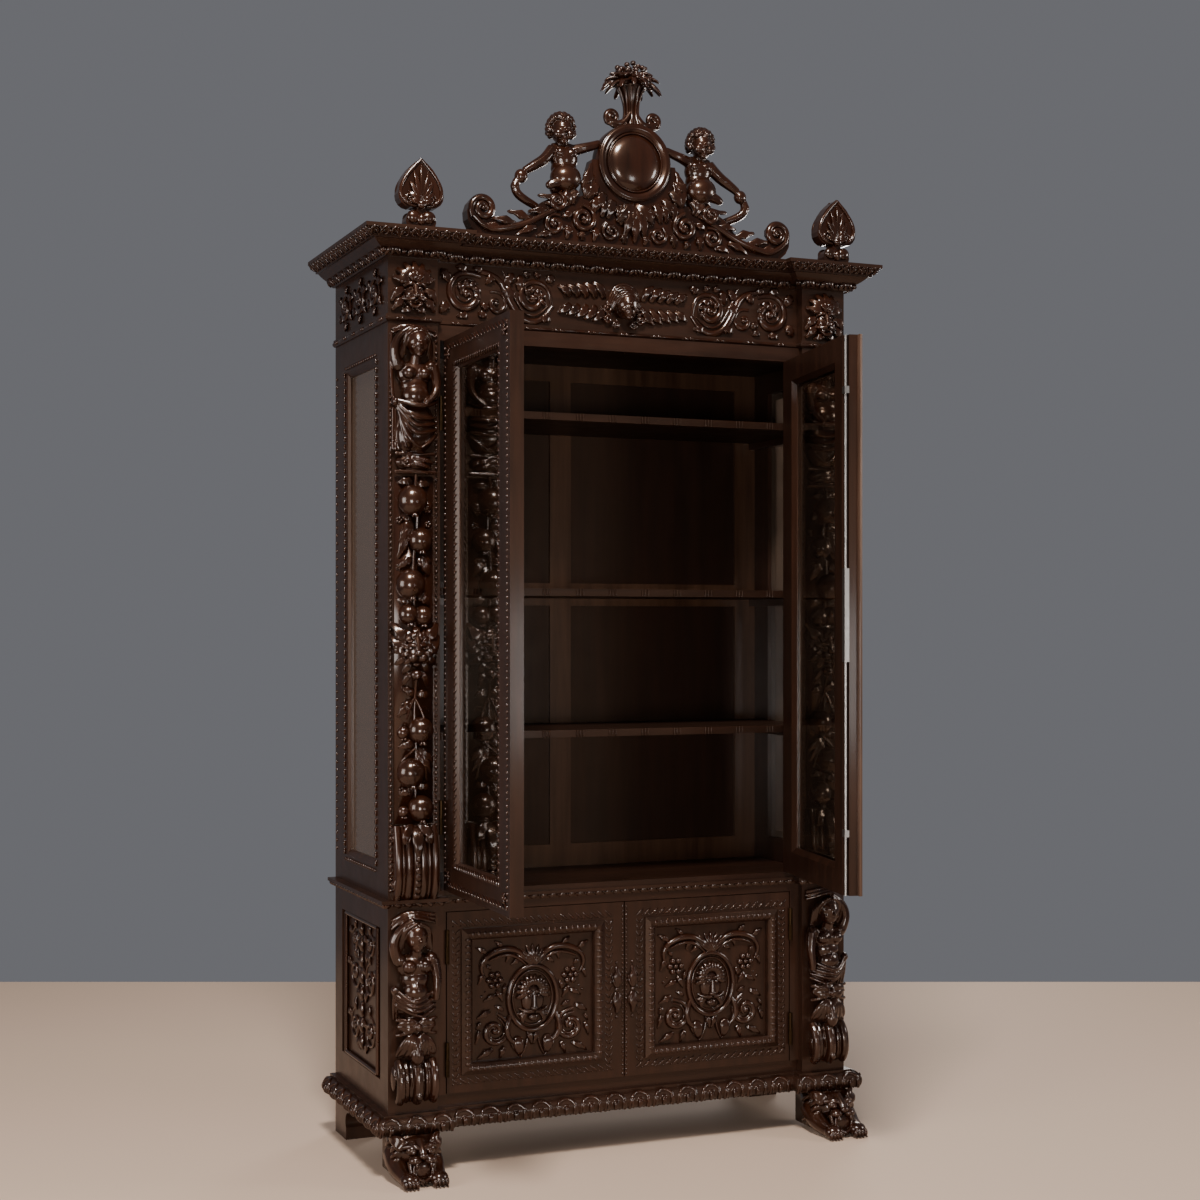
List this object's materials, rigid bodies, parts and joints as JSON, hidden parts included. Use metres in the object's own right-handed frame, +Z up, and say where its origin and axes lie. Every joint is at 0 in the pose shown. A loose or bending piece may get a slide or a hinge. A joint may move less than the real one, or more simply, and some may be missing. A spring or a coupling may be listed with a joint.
{
  "type": "display cabinet",
  "caption": "Tall carved walnut display cabinet with a figured crest, glazed upper doors, shelves, panelled lower doors and lion feet.",
  "frame": {"origin": "on the floor under the front plane of the pilasters, at the middle of the width; with the doors open as at rest this is the middle of the ground the cabinet takes up, within 5 mm", "axes": "+X to the right seen from the front, +Y to the back, +Z up"},
  "size_m": [1.51, 1.0358, 2.9427],
  "materials": {
    "dark_walnut": "waxed and polished, dark stain",
    "dark_inner_walnut": "satin dark stain",
    "window_glass": "clear",
    "aged_brass": "aged",
    "bright_steel": "worn bright"
  },
  "bodies": {
    "case": {"base_plinth": "dark_walnut", "base_torus": "dark_walnut", "case_rails": "dark_walnut", "cornice_moulding": "dark_walnut", "crest_board": "dark_walnut", "crest_medallion": "dark_walnut", "crest_plume": "dark_walnut", "crest_putti": "dark_walnut", "finials": "dark_walnut", "frieze_blocks": "dark_walnut", "frieze_board": "dark_walnut", "frieze_mask": "dark_walnut", "frieze_side_boards": "dark_walnut", "fruit_garlands": "dark_walnut", "lion_feet": "dark_walnut", "lower_back_board": "dark_inner_walnut", "lower_caryatids": "dark_walnut", "lower_floor_board": "dark_inner_walnut", "lower_hinge_case_leaves": "aged_brass", "lower_pilasters": "dark_walnut", "lower_side_frames": "dark_walnut", "lower_side_panels": "dark_walnut", "neck_moulding": "dark_walnut", "pilaster_consoles": "dark_walnut", "rear_feet": "dark_walnut", "shelf_battens": "dark_inner_walnut", "shelves": "dark_inner_walnut", "side_glass": "window_glass", "side_glazing_beads": "dark_walnut", "strike_plates": "aged_brass", "top_boards": "dark_inner_walnut", "upper_back_frame": "dark_inner_walnut", "upper_back_panels": "dark_inner_walnut", "upper_caryatids": "dark_walnut", "upper_hinge_case_leaves": "aged_brass", "upper_pilasters": "dark_walnut", "upper_side_frames": "dark_walnut", "waist_board": "dark_inner_walnut", "waist_moulding": "dark_walnut"},
    "upper_door_left": {"upper_door_left_beads": "dark_walnut", "upper_door_left_frame": "dark_walnut", "upper_door_left_glass": "window_glass", "upper_door_left_hinge_leaves": "aged_brass"},
    "upper_door_right": {"upper_door_right_astragal": "dark_walnut", "upper_door_right_beads": "dark_walnut", "upper_door_right_frame": "dark_walnut", "upper_door_right_glass": "window_glass", "upper_door_right_hinge_leaves": "aged_brass", "upper_door_right_lock": "bright_steel"},
    "bolt_rod_upper": {"bolt_rod_upper": "bright_steel"},
    "bolt_rod_lower": {"bolt_rod_lower": "bright_steel"},
    "lower_door_left": {"lower_door_left_frame": "dark_walnut", "lower_door_left_hinge_leaves": "aged_brass", "lower_door_left_moulding": "dark_walnut", "lower_door_left_panel": "dark_walnut"},
    "lower_door_right": {"lower_door_right_frame": "dark_walnut", "lower_door_right_hinge_leaves": "aged_brass", "lower_door_right_moulding": "dark_walnut", "lower_door_right_panel": "dark_walnut"}
  },
  "joints": [
    {"name": "upper_door_left_hinge", "type": "hinge", "parent": "case", "child": "upper_door_left", "pos_m": [-0.528, 0.0076, 1.45], "axis": [0, 0, -1], "range_deg": [-91, 9]},
    {"name": "upper_door_right_hinge", "type": "hinge", "parent": "case", "child": "upper_door_right", "pos_m": [0.528, 0.0076, 1.45], "axis": [0, 0, 1], "range_deg": [-79, 21]},
    {"name": "lower_door_left_hinge", "type": "hinge", "parent": "case", "child": "lower_door_left", "pos_m": [-0.51, 0.0136, 0.44], "axis": [0, 0, -1], "range_deg": [0, 95]},
    {"name": "lower_door_right_hinge", "type": "hinge", "parent": "case", "child": "lower_door_right", "pos_m": [0.51, 0.0136, 0.44], "axis": [0, 0, 1], "range_deg": [0, 95]},
    {"name": "bolt_rod_upper_slide", "type": "slide", "parent": "upper_door_right", "child": "bolt_rod_upper", "axis": [0, 0, 1], "range_m": [0, 0.016]},
    {"name": "bolt_rod_lower_slide", "type": "slide", "parent": "upper_door_right", "child": "bolt_rod_lower", "axis": [0, 0, -1], "range_m": [0, 0.016]}
  ],
  "couplings": [
    {"joint": "bolt_rod_lower_slide", "follows": "bolt_rod_upper_slide", "ratio": 1}
  ]
}
